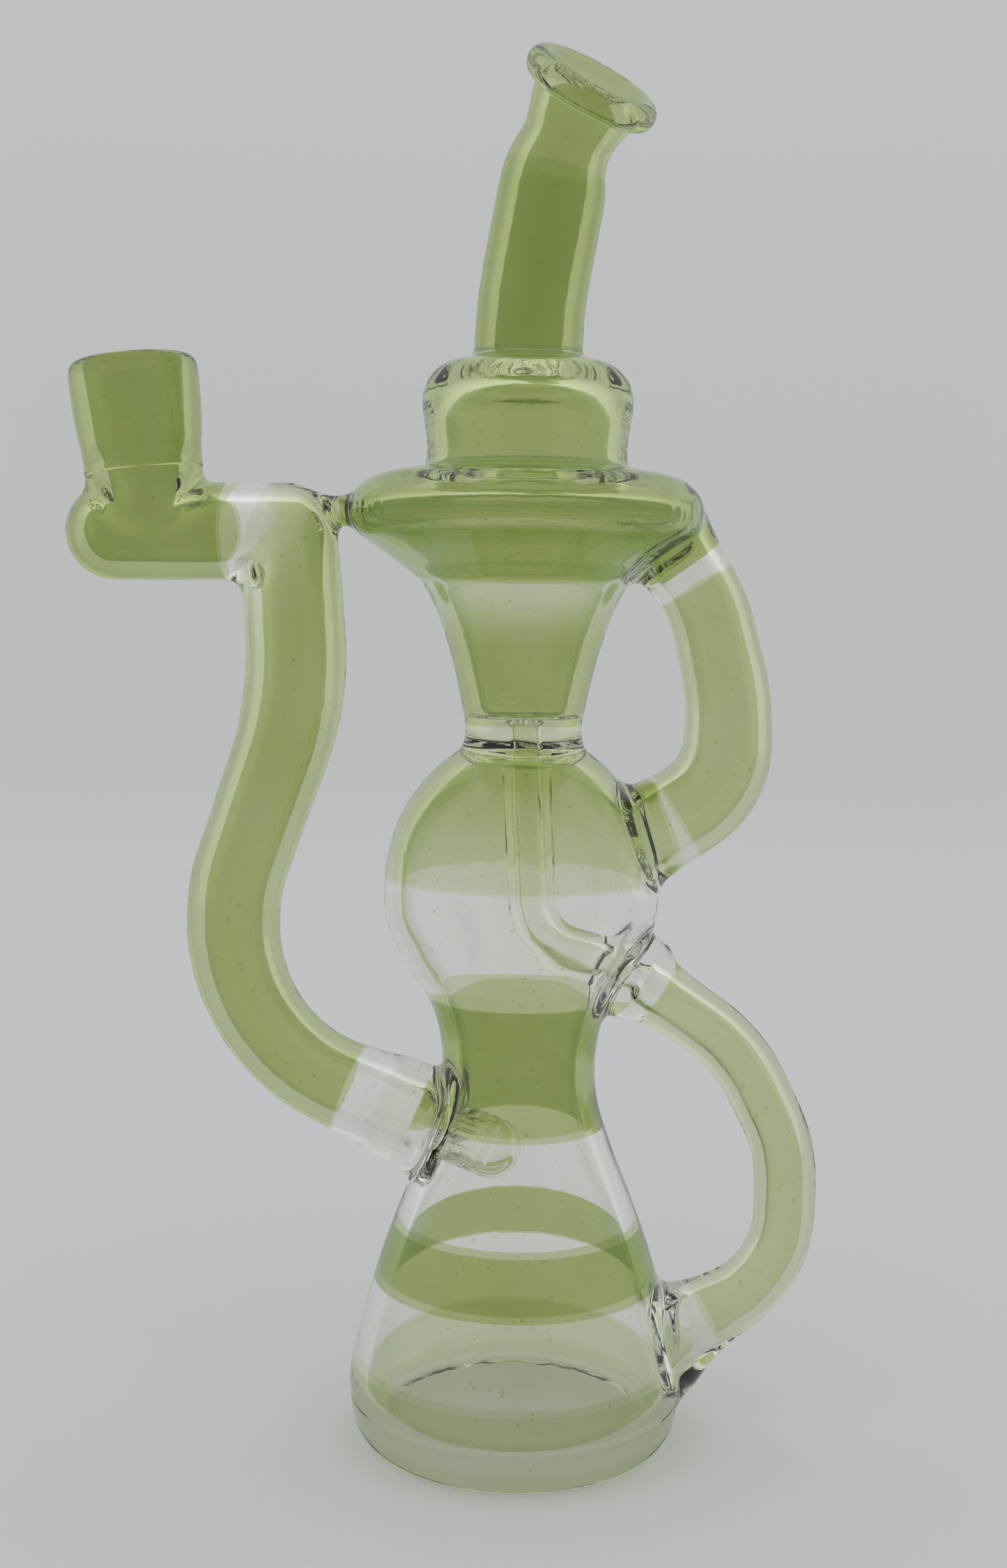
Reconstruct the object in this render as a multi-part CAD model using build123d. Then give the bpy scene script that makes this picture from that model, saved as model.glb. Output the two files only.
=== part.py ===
"""Recycler water pipe in blown borosilicate glass, 203 mm tall, with green and clear sections.

A round base runs up through a waist into a bulb. Over the bulb stand a drain funnel, a wide disc, a
collar and a bent neck with a rolled lip. The joint takes the bowl and feeds the base through an
elbow, an S-shaped tube and a slitted diffuser. Two arms carry the water: the uptake arm from the
bulb to the disc, and the return arm from the funnel's inner drain tube to the base.
All of it is fused glass, so nothing moves. Millimetres, +Z up, +X towards the water arms, origin at
the centre of the flat foot. Each coloured or clear section of glass is a piece of its own.
"""

import os
from math import cos, hypot, radians, sin

from build123d import *

# Thickness of the glass
WALL = 2.8
ARM_WALL = 2.0
STUB_WALL = 1.3
FLOOR = 3.7

# Heights at which the sections of the body meet
BASE_BAND_TOP = 12.2
BASE_CLEAR_TOP = 24.3
MIDDLE_BAND_TOP = 32.6
UPPER_CLEAR_TOP = 47.4
WAIST_TOP = 66.6
BULB_CLEAR_TOP = 84.0
DOME_TOP = 103.3
NECK_RING_TOP = 106.5
FUNNEL_TOP = 127.2
DISC_SEAM = 133.0
DISC_TOP = 143.1
COLLAR_TOP = 158.6

# Radii of the body
FOOT_RADIUS = 21.6
BASE_RADIUS = 24.7
WAIST_RADIUS = 11.3
BULB_RADIUS = 20.2
RING_RADIUS = 8.2
FUNNEL_RADIUS = 15.1
SEAM_RADIUS = 23.2
DISC_RADIUS = 25.8
COLLAR_FOOT_RADIUS = 14.3
COLLAR_RADIUS = 15.1
NECK_RADIUS = 7.7

# Neck and mouthpiece: the centreline's points, the way the mouth faces, and its radii
NECK_BEND = (0, 0, 165.5)
NECK_END = (3.6, 0, 185.6)
THROAT_CENTRE = (5.1, -0.6, 189.3)
LIP_CENTRE = (7.3, -2.2, 194.0)
THROAT_AXIS = (0.33, -0.2, 0.92)
MOUTH_AXIS = (0.44, -0.42, 0.80)
THROAT_RADIUS = 6.5
MOUTH_RADIUS = 7.7
LIP_RADIUS = 10.0
LIP_HEIGHT = 4.4

# Joint and inlet: bearing round the body, then (distance from the body's axis, height) on it
INLET_BEARING = 171
ELBOW_HEIGHT = 134.0
ELBOW_RADIUS = 7.3
ELBOW_BLIND_END = 62.2
ELBOW_CORNER = 35.4
ELBOW_GREEN_END = 44.3
ELBOW_MITRE = (41.6, 126.6)
ELBOW_MITRE_LEAN = 15
JOINT_FOOT = (56.6, 134.0)
JOINT_LEAN = 6.4
JOINT_RISE = 25.3
JOINT_RADIUS = 9.5
JOINT_FOOT_RADIUS = 8.8
GROUND_MOUTH_RADIUS = 7.25
GROUND_DEPTH = 14.0
GROUND_TAPER = 0.1
INLET_ROUTE = [(35.4, 134), (33.7, 109.4), (43.8, 80.7), (43.8, 57.8), (18.6, 48.6)]
INLET_BENDS = [45, 27, 25.5]
INLET_RADIUS = 7.0
INLET_SLEEVE_LENGTH = 6.4
INLET_RING_RADIUS = 8.0
INLET_RING_LENGTH = 2.4
INLET_BOSS_RADIUS = 7.5
INLET_BOSS_LENGTH = 9.0
DIFFUSER_RADIUS = 4.6
DIFFUSER_REACH = 20.0
SLITS = 6
SLIT_WIDTH = 0.8
SLIT_PITCH = 1.7
BRACE_RADIUS = 2.3
BRACE_FOOT_RADIUS = 3.6
BRACE_MIDDLE = (27.5, 137.2)
BRACE_HALF_LENGTH = 4.0

# Water arms: the same, with the distance along the route at which each meets the body
UPTAKE_BEARING = 4
UPTAKE_ROUTE = [(17.7, 137.1), (26.7, 124.8), (30.2, 110.6), (30.2, 97.6), (12, 86.7)]
UPTAKE_BENDS = [25, 30, 12]
UPTAKE_RADIUS = 6.2
UPTAKE_TOP_WELD_RADIUS = 6.9
UPTAKE_FOOT_WELD_RADIUS = 7.6
UPTAKE_WELD_LENGTH = 3.0
UPTAKE_START = 6.5
UPTAKE_STOP = 7.9
RETURN_BEARING = 2
RETURN_ROUTE = [(13.1, 72.0), (32.7, 58.6), (40.1, 43.6), (40.1, 24.6), (18, 11.9)]
RETURN_BENDS = [25, 22, 16]
RETURN_RADIUS = 4.7
RETURN_RING_RADIUS = 6.3
RETURN_RING_LENGTH = 1.0
RETURN_START = 3.2
RETURN_SLEEVE_RADIUS = 8.2
RETURN_SLEEVE_LENGTH = 6.0
RETURN_STOP = 6.5
DRAIN_ROUTE = [(0, 107.0), (1.9, 74.9), (17.5, 69.5)]
DRAIN_BEND = 8
DRAIN_RADIUS = 3.5

STEP = 0.05
SPACE = 300
UP = (0, 1)


def bearing(angle):
    """Upright plane on the body's axis: x is the distance from the axis and y the height."""
    turn = radians(angle)
    return Plane(origin=(0, 0, 0), x_dir=(cos(turn), sin(turn), 0), z_dir=(sin(turn), -cos(turn), 0))


def turned(*edges):
    """Solid turned about the body's axis from an outline of joined edges."""
    return revolve(Plane.XZ * make_face(edges), Axis.Z)


def turned_at(place, *corners):
    """Solid turned about a place's Z axis from corners of (radius, distance along it)."""
    return place * revolve(Plane.XZ * make_face(Polyline(*corners, close=True)), Axis.Z)


def level(low, high):
    """All space between two heights."""
    return Pos(0, 0, (low + high) / 2) * Box(SPACE, SPACE, high - low)


def beyond(place):
    """All space on a plane's front side."""
    return place * Pos(0, 0, SPACE / 2) * Box(SPACE, SPACE, SPACE)


def rod(route, radius):
    """Round rod along a route."""
    return sweep(Plane(origin=route @ 0, z_dir=route % 0) * Circle(radius), path=route)


def along(route, distance, from_end=False):
    """Place on a route's first run facing along it, or on its last run facing back."""
    if from_end:
        direction = -(route % 1)
        return Plane(origin=(route @ 1) + direction * distance, z_dir=direction)
    direction = route % 0
    return Plane(origin=(route @ 0) + direction * distance, z_dir=direction)


def flare(place, root, tip, length, stump=6):
    """Solid weld of an arm: a stump inside the body that flares off it to the arm's own size."""
    return turned_at(place, (0, -stump), (root, -stump), (root, 0), (tip, length), (0, length))


def inset(stations, distance=WALL):
    """Outline stations moved inwards, square to the outline."""
    moved = []
    for index, (radius, height) in enumerate(stations):
        before = stations[max(index - 1, 0)]
        after = stations[min(index + 1, len(stations) - 1)]
        run, rise = after[0] - before[0], after[1] - before[1]
        length = hypot(run, rise)
        moved.append((radius - distance * rise / length, height + distance * run / length))
    return moved


# Body skin, as one turned solid: base and bulb, dome, ring, funnel, disc and collar
chamber = [
    (BASE_RADIUS, 9.5),
    (23.4, 16.0),
    (21.0, 24.7),
    (18.1, 33.2),
    (13.8, 44.2),
    (WAIST_RADIUS, 56.5),
    (13.2, 65.5),
    (17.3, 72.1),
    (BULB_RADIUS, 82.0),
]
dome = [(BULB_RADIUS, 82.0), (17.3, 94.0), (12.2, 100.6), (RING_RADIUS, DOME_TOP)]
funnel = [(RING_RADIUS, NECK_RING_TOP), (10.6, 116.0), (FUNNEL_RADIUS, FUNNEL_TOP)]
skin = turned(
    Line((0, 0), (FOOT_RADIUS, 0)),
    ThreePointArc((FOOT_RADIUS, 0), (24.0, 3.0), (BASE_RADIUS, 9.5)),
    Spline(*chamber, tangents=[UP, UP]),
    Spline(*dome, tangents=[UP, (-1.6, 1)]),
    ThreePointArc((RING_RADIUS, DOME_TOP), (8.5, 104.9), (RING_RADIUS, NECK_RING_TOP)),
    Spline(*funnel, tangents=[(0.2, 1), (0.9, 1)]),
    Line((FUNNEL_RADIUS, FUNNEL_TOP), (SEAM_RADIUS, DISC_SEAM)),
    ThreePointArc((SEAM_RADIUS, DISC_SEAM), (DISC_RADIUS, 136.6), (22.4, 141.0)),
    Line((22.4, 141.0), (COLLAR_FOOT_RADIUS, DISC_TOP)),
    Spline((COLLAR_FOOT_RADIUS, DISC_TOP), (14.5, 147.4), (COLLAR_RADIUS, 153.0), tangents=[UP, UP]),
    ThreePointArc((COLLAR_RADIUS, 153.0), (13.2, 157.0), (NECK_RADIUS, COLLAR_TOP)),
    Line((NECK_RADIUS, COLLAR_TOP), (0, COLLAR_TOP)),
    Line((0, COLLAR_TOP), (0, 0)),
)

# Lower room: base, waist and bulb as far as the neck ring, which seals it round the drain tube
room_wall = inset(chamber)
dome_wall = inset(dome)
dome_wall[0] = room_wall[-1]
lower_room = turned(
    Line((0, FLOOR), (FOOT_RADIUS - WALL, FLOOR)),
    Spline((FOOT_RADIUS - WALL, FLOOR), room_wall[0], tangents=[(1, 0.2), UP]),
    Spline(*room_wall, tangents=[UP, UP]),
    Spline(*dome_wall, tangents=[UP, (-1.6, 1)]),
    Line(dome_wall[-1], (0, dome_wall[-1][1])),
    Line((0, dome_wall[-1][1]), (0, FLOOR)),
)

# Upper room: funnel, disc and collar, open to the neck
funnel_wall = inset(funnel)
disc_floor = inset([(FUNNEL_RADIUS, FUNNEL_TOP), (SEAM_RADIUS, DISC_SEAM)])
disc_edge = DISC_RADIUS - WALL
roof = DISC_TOP - WALL
throat = NECK_RADIUS - WALL
ceiling = COLLAR_TOP - WALL
upper_room = turned(
    Line((0, NECK_RING_TOP), funnel_wall[0]),
    Spline(*funnel_wall[:-1], disc_floor[0], tangents=[(0.2, 1), (0.9, 1)]),
    Line(*disc_floor),
    ThreePointArc(disc_floor[1], (disc_edge, 136.7), (20.6, 138.7)),
    Line((20.6, 138.7), (COLLAR_FOOT_RADIUS - WALL, roof)),
    Line((COLLAR_FOOT_RADIUS - WALL, roof), (COLLAR_RADIUS - WALL, 152.5)),
    ThreePointArc((COLLAR_RADIUS - WALL, 152.5), (11.0, 154.7), (throat, ceiling)),
    Line((throat, ceiling), (throat, COLLAR_TOP)),
    Line((throat, COLLAR_TOP), (0, COLLAR_TOP)),
    Line((0, COLLAR_TOP), (0, NECK_RING_TOP)),
)

# Routes of the tubes
inlet_plane = bearing(INLET_BEARING)
inlet_route = inlet_plane * FilletPolyline(*INLET_ROUTE, radius=INLET_BENDS)
uptake_route = bearing(UPTAKE_BEARING) * FilletPolyline(*UPTAKE_ROUTE, radius=UPTAKE_BENDS)
return_plane = bearing(RETURN_BEARING)
return_route = return_plane * FilletPolyline(*RETURN_ROUTE, radius=RETURN_BENDS)
drain_route = return_plane * FilletPolyline(*DRAIN_ROUTE, radius=DRAIN_BEND)

ring_place = along(inlet_route, 0, from_end=True)
inlet_bore = rod(inlet_route, INLET_RADIUS - WALL)
inlet_hole = ring_place * Pos(0, 0, -6) * Cylinder(INLET_RADIUS - WALL, 12)
uptake_bore = rod(uptake_route, UPTAKE_RADIUS - ARM_WALL)
return_bore = rod(return_route, RETURN_RADIUS - ARM_WALL)
drain_bore = rod(drain_route, DRAIN_RADIUS - STUB_WALL)

# Sections of the body, cut level from the one blown shell
shell = skin - lower_room - upper_room - inlet_hole - uptake_bore - return_bore - drain_bore
sections = {
    "foot_disc": (0, FLOOR),
    "base_band": (FLOOR, BASE_BAND_TOP),
    "base_clear_section": (BASE_BAND_TOP, BASE_CLEAR_TOP),
    "middle_band": (BASE_CLEAR_TOP, MIDDLE_BAND_TOP),
    "upper_clear_section": (MIDDLE_BAND_TOP, UPPER_CLEAR_TOP),
    "waist_band": (UPPER_CLEAR_TOP, WAIST_TOP),
    "bulb_clear_section": (WAIST_TOP, BULB_CLEAR_TOP),
    "bulb_dome": (BULB_CLEAR_TOP, DOME_TOP),
    "neck_ring": (DOME_TOP, NECK_RING_TOP),
    "drain_funnel": (NECK_RING_TOP, FUNNEL_TOP),
    "disc_underside": (FUNNEL_TOP, DISC_SEAM),
    "disc_top": (DISC_SEAM, DISC_TOP),
    "collar": (DISC_TOP, COLLAR_TOP),
}
parts = {name: shell & level(*heights) for name, heights in sections.items()}

# Neck, throat shoulder, mouthpiece and rolled lip
neck_route = FilletPolyline((0, 0, COLLAR_TOP), NECK_BEND, NECK_END, radius=50)
neck_tip = Plane(origin=neck_route @ 1, z_dir=neck_route % 1)
throat_place = Plane(origin=THROAT_CENTRE, z_dir=THROAT_AXIS)
lip_place = Plane(origin=LIP_CENTRE, z_dir=MOUTH_AXIS)


def drawn(low, low_radius, high, high_radius):
    """Length of tube drawn down or flared between two places."""
    outside = loft([low * Circle(low_radius), high * Circle(high_radius)])
    inside = loft([low * Circle(low_radius - WALL), high * Circle(high_radius - WALL)])
    return outside - inside


parts["neck_tube"] = rod(neck_route, NECK_RADIUS) - rod(neck_route, throat)
parts["neck_shoulder"] = drawn(neck_tip, NECK_RADIUS, throat_place, THROAT_RADIUS)
parts["mouthpiece"] = drawn(throat_place, THROAT_RADIUS, lip_place, MOUTH_RADIUS)
lip_bore = MOUTH_RADIUS - WALL
lip_outline = [
    Line((lip_bore, 0), (MOUTH_RADIUS, 0)),
    ThreePointArc((MOUTH_RADIUS, 0), (LIP_RADIUS, LIP_HEIGHT / 2), (MOUTH_RADIUS + 0.3, LIP_HEIGHT)),
    ThreePointArc((MOUTH_RADIUS + 0.3, LIP_HEIGHT), (6.7, 3.3), (lip_bore, 0)),
]
parts["mouthpiece_lip"] = lip_place * revolve(Plane.XZ * make_face(lip_outline), Axis.Z)

# Joint on its elbow: a 14 mm socket with a ground taper, standing on a blind-ended tube
elbow_run = ELBOW_BLIND_END - ELBOW_CORNER
elbow_place = Plane(
    origin=inlet_plane.from_local_coords((ELBOW_CORNER, ELBOW_HEIGHT, 0)),
    z_dir=inlet_plane.x_dir,
)


def elbow_form(radius):
    """Level round bar with a half ball at each end."""
    bar = Pos(0, 0, elbow_run / 2) * Cylinder(radius, elbow_run)
    return elbow_place * (bar + Sphere(radius) + Pos(0, 0, elbow_run) * Sphere(radius))


lean = radians(JOINT_LEAN)
joint_axis = inlet_plane.x_dir * sin(lean) + Vector(0, 0, cos(lean))
joint_place = Plane(origin=inlet_plane.from_local_coords((*JOINT_FOOT, 0)), z_dir=joint_axis)
ground_end = JOINT_RISE - GROUND_DEPTH
ground_end_radius = GROUND_MOUTH_RADIUS - GROUND_DEPTH * GROUND_TAPER / 2
joint_bore_radius = ELBOW_RADIUS - WALL
joint_outside = turned_at(
    joint_place,
    (0, 0),
    (JOINT_FOOT_RADIUS, 0),
    (JOINT_FOOT_RADIUS, 11),
    (JOINT_RADIUS, 17),
    (JOINT_RADIUS, JOINT_RISE - 1),
    (JOINT_RADIUS - 1, JOINT_RISE),
    (0, JOINT_RISE),
)
joint_inside = turned_at(
    joint_place,
    (0, 0),
    (joint_bore_radius, 0),
    (joint_bore_radius, ground_end - 3),
    (ground_end_radius, ground_end),
    (GROUND_MOUTH_RADIUS, JOINT_RISE),
    (0, JOINT_RISE),
)
elbow_outside = elbow_form(ELBOW_RADIUS)
elbow_inside = elbow_form(ELBOW_RADIUS - WALL)
parts["joint_socket"] = joint_outside - joint_inside - elbow_outside

# Elbow, clear sleeve and S tube, cut from one bent tube
inlet_outside = elbow_outside + rod(inlet_route, INLET_RADIUS)
inlet_tube = inlet_outside - elbow_inside - inlet_bore - joint_inside
mitre_lean = radians(ELBOW_MITRE_LEAN)
mitre = Plane(
    origin=inlet_plane.from_local_coords((*ELBOW_MITRE, 0)),
    z_dir=inlet_plane.x_dir * cos(mitre_lean) + Vector(0, 0, sin(mitre_lean)),
)
green_end = Plane(
    origin=inlet_plane.from_local_coords((ELBOW_GREEN_END, ELBOW_HEIGHT, 0)),
    z_dir=inlet_plane.x_dir,
)
elbow_level = level(ELBOW_HEIGHT - 10, ELBOW_HEIGHT + 10)
past_mitre = elbow_level & beyond(mitre)
past_green = elbow_level & beyond(green_end)
sleeve_place = along(inlet_route, INLET_RING_LENGTH / 2 + INLET_SLEEVE_LENGTH, from_end=True)
run_in = sleeve_place * Pos(0, 0, -10) * Cylinder(INLET_RADIUS + 3, 20)
parts["joint_elbow"] = inlet_tube & past_green
parts["elbow_clear_sleeve"] = (inlet_tube & past_mitre) - past_green
parts["inlet_s_tube"] = inlet_tube - past_mitre - run_in

# Where the inlet enters the base: a clear sleeve, a ring and a boss that is welded to the wall
ring_half = INLET_RING_LENGTH / 2
sleeve_end = ring_half + INLET_SLEEVE_LENGTH
inlet_bore_radius = INLET_RADIUS - WALL
parts["inlet_clear_sleeve"] = turned_at(
    ring_place,
    (inlet_bore_radius, ring_half),
    (INLET_RING_RADIUS - 0.6, ring_half),
    (INLET_RADIUS, sleeve_end),
    (inlet_bore_radius, sleeve_end),
)
parts["inlet_weld_ring"] = turned_at(
    ring_place,
    (inlet_bore_radius, -ring_half),
    (INLET_RING_RADIUS, -ring_half),
    (INLET_RING_RADIUS, ring_half),
    (inlet_bore_radius, ring_half),
)
boss = turned_at(
    ring_place,
    (inlet_bore_radius, -INLET_BOSS_LENGTH),
    (INLET_BOSS_RADIUS, -INLET_BOSS_LENGTH),
    (INLET_BOSS_RADIUS, -ring_half),
    (inlet_bore_radius, -ring_half),
)
parts["inlet_boss"] = boss - skin

# Slitted diffuser: a stub tube with a closed round nose and saw cuts across its underside
stub_straight = DIFFUSER_REACH - DIFFUSER_RADIUS
stub_bore = DIFFUSER_RADIUS - STUB_WALL


def stub(radius):
    """Round bar with a ball nose, from the ring's place into the base."""
    bar = Pos(0, 0, -stub_straight / 2) * Cylinder(radius, stub_straight)
    return ring_place * (bar + Pos(0, 0, -stub_straight) * Sphere(radius))


diffuser = (stub(DIFFUSER_RADIUS) - stub(stub_bore)) & lower_room
for index in range(SLITS):
    place = ring_place * Pos(0, 0, -stub_straight + index * SLIT_PITCH)
    diffuser -= place * Pos(0, -DIFFUSER_RADIUS, 0) * Box(20, 2 * DIFFUSER_RADIUS, SLIT_WIDTH)
parts["slitted_diffuser"] = diffuser

# Brace: a short waisted glass rod that holds the elbow off the disc's rim
brace_place = Plane(
    origin=inlet_plane.from_local_coords((*BRACE_MIDDLE, 0)),
    z_dir=inlet_plane.x_dir,
)
brace_outline = [
    Line((0, -BRACE_HALF_LENGTH), (BRACE_FOOT_RADIUS, -BRACE_HALF_LENGTH)),
    ThreePointArc(
        (BRACE_FOOT_RADIUS, -BRACE_HALF_LENGTH),
        (BRACE_RADIUS, 0),
        (BRACE_FOOT_RADIUS, BRACE_HALF_LENGTH),
    ),
    Line((BRACE_FOOT_RADIUS, BRACE_HALF_LENGTH), (0, BRACE_HALF_LENGTH)),
    Line((0, BRACE_HALF_LENGTH), (0, -BRACE_HALF_LENGTH)),
]
brace = brace_place * revolve(Plane.XZ * make_face(brace_outline), Axis.Z)
parts["brace"] = brace - skin - inlet_outside

# Uptake arm from the bulb's dome to the disc, with a clear flared weld at each end
uptake_outside = rod(uptake_route, UPTAKE_RADIUS)
uptake_tip = UPTAKE_RADIUS + STEP
uptake_top = flare(
    along(uptake_route, UPTAKE_START),
    UPTAKE_TOP_WELD_RADIUS,
    uptake_tip,
    UPTAKE_WELD_LENGTH,
    stump=2.5,
)
uptake_foot = flare(
    along(uptake_route, UPTAKE_STOP, from_end=True),
    UPTAKE_FOOT_WELD_RADIUS,
    uptake_tip,
    UPTAKE_WELD_LENGTH,
)
parts["uptake_arm"] = uptake_outside - uptake_bore - skin - uptake_top - uptake_foot
parts["uptake_upper_weld"] = uptake_top - uptake_bore - skin
parts["uptake_lower_weld"] = uptake_foot - uptake_bore - skin

# Return arm from the bulb's port ring to the base, with a clear flared sleeve at the base
port_ring = flare(
    along(return_route, RETURN_START), RETURN_RING_RADIUS, RETURN_RING_RADIUS, RETURN_RING_LENGTH
)
return_sleeve = flare(
    along(return_route, RETURN_STOP, from_end=True),
    RETURN_SLEEVE_RADIUS,
    RETURN_RADIUS + STEP,
    RETURN_SLEEVE_LENGTH,
)
return_outside = rod(return_route, RETURN_RADIUS)
parts["return_arm"] = return_outside - return_bore - skin - port_ring - return_sleeve
parts["return_port_ring"] = port_ring - return_bore - skin
parts["return_clear_sleeve"] = return_sleeve - return_bore - skin

# Drain tube inside the bulb, from the neck ring to the return port
parts["inner_drain_tube"] = (rod(drain_route, DRAIN_RADIUS) - drain_bore) & lower_room

os.makedirs("parts", exist_ok=True)
for name, solid in parts.items():
    export_step(solid, f"parts/{name}.step")
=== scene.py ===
"""Recycler water pipe in blown glass: the looks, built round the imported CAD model. Metres, +Z up."""

import math

import bmesh
import bpy
import numpy as np
from mathutils import Matrix, Vector
from mathutils.kdtree import KDTree


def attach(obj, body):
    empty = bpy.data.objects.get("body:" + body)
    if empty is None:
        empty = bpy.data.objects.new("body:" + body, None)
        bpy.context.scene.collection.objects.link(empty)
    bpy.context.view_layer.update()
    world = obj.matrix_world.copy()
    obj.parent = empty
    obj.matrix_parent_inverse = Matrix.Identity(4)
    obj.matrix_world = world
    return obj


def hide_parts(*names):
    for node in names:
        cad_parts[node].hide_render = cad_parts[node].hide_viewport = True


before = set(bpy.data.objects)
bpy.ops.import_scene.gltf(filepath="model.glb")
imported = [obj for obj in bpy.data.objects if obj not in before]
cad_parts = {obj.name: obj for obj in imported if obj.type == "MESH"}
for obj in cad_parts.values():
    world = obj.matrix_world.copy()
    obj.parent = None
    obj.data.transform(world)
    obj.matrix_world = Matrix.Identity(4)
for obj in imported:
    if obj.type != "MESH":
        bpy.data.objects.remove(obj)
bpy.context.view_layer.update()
bpy.ops.object.select_all(action="DESELECT")

# ---------------------------------------------------------------------------------------------
# Camera: stands low in front of the pipe and looks slightly down at it. It is turned a little
# clockwise about its line of sight.
# ---------------------------------------------------------------------------------------------
bpy.ops.object.camera_add(location=(-0.0028, -0.274, 0.1226))
camera = bpy.context.object
camera.name = "camera"
camera.data.sensor_fit = "VERTICAL"
camera.data.sensor_height = 36
camera.data.lens = 43.22
camera.data.clip_start = 0.01
pitch = math.radians(5.2)
roll = math.radians(0.75)
sight = Vector((0, math.cos(pitch), -math.sin(pitch)))
level_right = Vector((1, 0, 0))
level_up = Vector((0, math.sin(pitch), math.cos(pitch)))
right = math.cos(roll) * level_right + math.sin(roll) * level_up
up = math.cos(roll) * level_up - math.sin(roll) * level_right
turn = Matrix((right, up, -sight)).transposed().to_4x4()
camera.matrix_world = Matrix.Translation(camera.location) @ turn
bpy.context.scene.camera = camera


# ---------------------------------------------------------------------------------------------
# Body: one blown bubble of borosilicate glass, shaped on the lathe with graphite paddles into base,
# waist, bulb, funnel, disc and collar. Its outside is spun here, and so are the two rooms inside it.
# ---------------------------------------------------------------------------------------------
MM = 0.001
WALL = 2.8  # how thick the glass of the body is, in mm


def smooth_line(points, spacing=1.0):
    """Points along a rounded line through the given ones, about a spacing apart."""
    points = np.array(points, float)
    chord = np.sqrt(np.linalg.norm(np.diff(points, axis=0), axis=1))
    knots = np.concatenate([[0], np.cumsum(chord)])
    slope = np.gradient(points, knots, axis=0, edge_order=2 if len(points) > 2 else 1)
    made = [points[:1]]
    for i in range(len(points) - 1):
        span = knots[i + 1] - knots[i]
        steps = max(2, int(np.ceil(np.linalg.norm(points[i + 1] - points[i]) / spacing)))
        t = (np.arange(1, steps + 1) / steps)[:, None]
        made.append(
            (2 * t**3 - 3 * t**2 + 1) * points[i]
            + (t**3 - 2 * t**2 + t) * span * slope[i]
            + (3 * t**2 - 2 * t**3) * points[i + 1]
            + (t**3 - t**2) * span * slope[i + 1]
        )
    return np.concatenate(made)


def joined_line(*stretches):
    """Rounded stretches one after the other, with a corner where two meet."""
    lines = [smooth_line(s) for s in stretches]
    return np.concatenate([lines[0]] + [line[1:] for line in lines[1:]])


def turned(name, outline, place=Matrix.Identity(4), steps=160):
    """Solid spun about a place's axis from an outline of (radius, distance along the axis), in mm."""
    bpy.ops.mesh.primitive_plane_add(size=MM)
    form = bpy.context.object
    form.name = name
    bpy.ops.object.mode_set(mode="EDIT")
    bpy.ops.mesh.delete(type="VERT")
    edit = bmesh.from_edit_mesh(form.data)
    corners = [edit.verts.new((r * MM, 0, z * MM)) for r, z in outline]
    for one, other in zip(corners, corners[1:]):
        edit.edges.new((one, other))
    bmesh.update_edit_mesh(form.data)
    bpy.ops.mesh.select_all(action="SELECT")
    bpy.ops.mesh.spin(steps=steps, angle=2 * math.pi, center=(0, 0, 0), axis=(0, 0, 1))
    bpy.ops.mesh.select_all(action="SELECT")
    bpy.ops.mesh.remove_doubles(threshold=1e-6)
    bpy.ops.mesh.normals_make_consistent(inside=False)
    bpy.ops.object.mode_set(mode="OBJECT")
    form.data.transform(place)
    return form


def moved_in(outline, distance):
    """A dense outline moved square to itself, towards the axis."""
    run = np.gradient(outline, axis=0)
    run /= np.linalg.norm(run, axis=1)[:, None]
    return outline + distance * np.stack([-run[:, 1], run[:, 0]], axis=1)


base_side = [
    (24.7, 9.5), (23.4, 16.0), (21.0, 24.7), (18.1, 33.2), (13.8, 44.2), (11.6, 51.5), (11.3, 56.5), (11.8, 61.0),
    (13.2, 65.5), (17.3, 72.1), (19.6, 77.0), (20.2, 82.0), (19.4, 88.5), (17.3, 94.0), (14.9, 97.6),
    (12.2, 100.4), (9.0, 102.9),
]
funnel_side = [(8.5, 106.5), (9.1, 109.5), (10.6, 116.0), (12.7, 122.4), (15.1, 127.2)]
body_outside = turned("body_outside", joined_line(
    [(0, 0), (21.2, 0)],
    [(21.2, 0), (22.6, 0.55), (23.9, 3.0), (24.6, 7.0), *base_side],
    [(9.0, 102.9), (8.5, 104.9), (8.5, 106.5)],
    funnel_side,
    [(15.1, 127.2), (23.2, 133.0)],
    [(23.2, 133.0), (25.0, 134.4), (25.8, 136.6), (25.2, 139.2), (22.8, 141.5), (18.6, 142.7), (14.5, 143.3)],
    [(14.5, 143.3), (14.5, 147.4), (15.1, 151.2), (15.1, 153.4), (14.5, 155.6), (12.6, 157.6), (10.2, 158.4),
     (7.9, 159.0)],
    [(7.9, 159.0), (0, 159.0)],
))
lower_wall = moved_in(smooth_line(base_side), WALL)
lower_room = turned("lower_room", np.concatenate([
    smooth_line([(0, 3.7), (16.0, 3.9)]), smooth_line([(18.0, 4.3), (20.4, 5.6), (21.7, 8.0)]), lower_wall,
    [(0, lower_wall[-1][1] + 0.4)],
]))
upper_room = turned("upper_room", np.concatenate([
    [(0, 107.3)], moved_in(smooth_line(funnel_side), WALL)[1:-2],
    smooth_line([(14.0, 130.0), (21.4, 135.0)])[1:],
    smooth_line([(21.4, 135.0), (22.9, 136.4), (22.6, 137.8), (20.6, 138.8), (17.0, 139.4), (14.2, 140.6)])[1:],
    smooth_line([(14.2, 140.6), (12.2, 143.2), (11.7, 147.4), (12.0, 150.8), (11.0, 153.6), (8.2, 155.6),
                 (5.4, 157.4)])[1:],
    [(0, 157.4)],
]))


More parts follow.
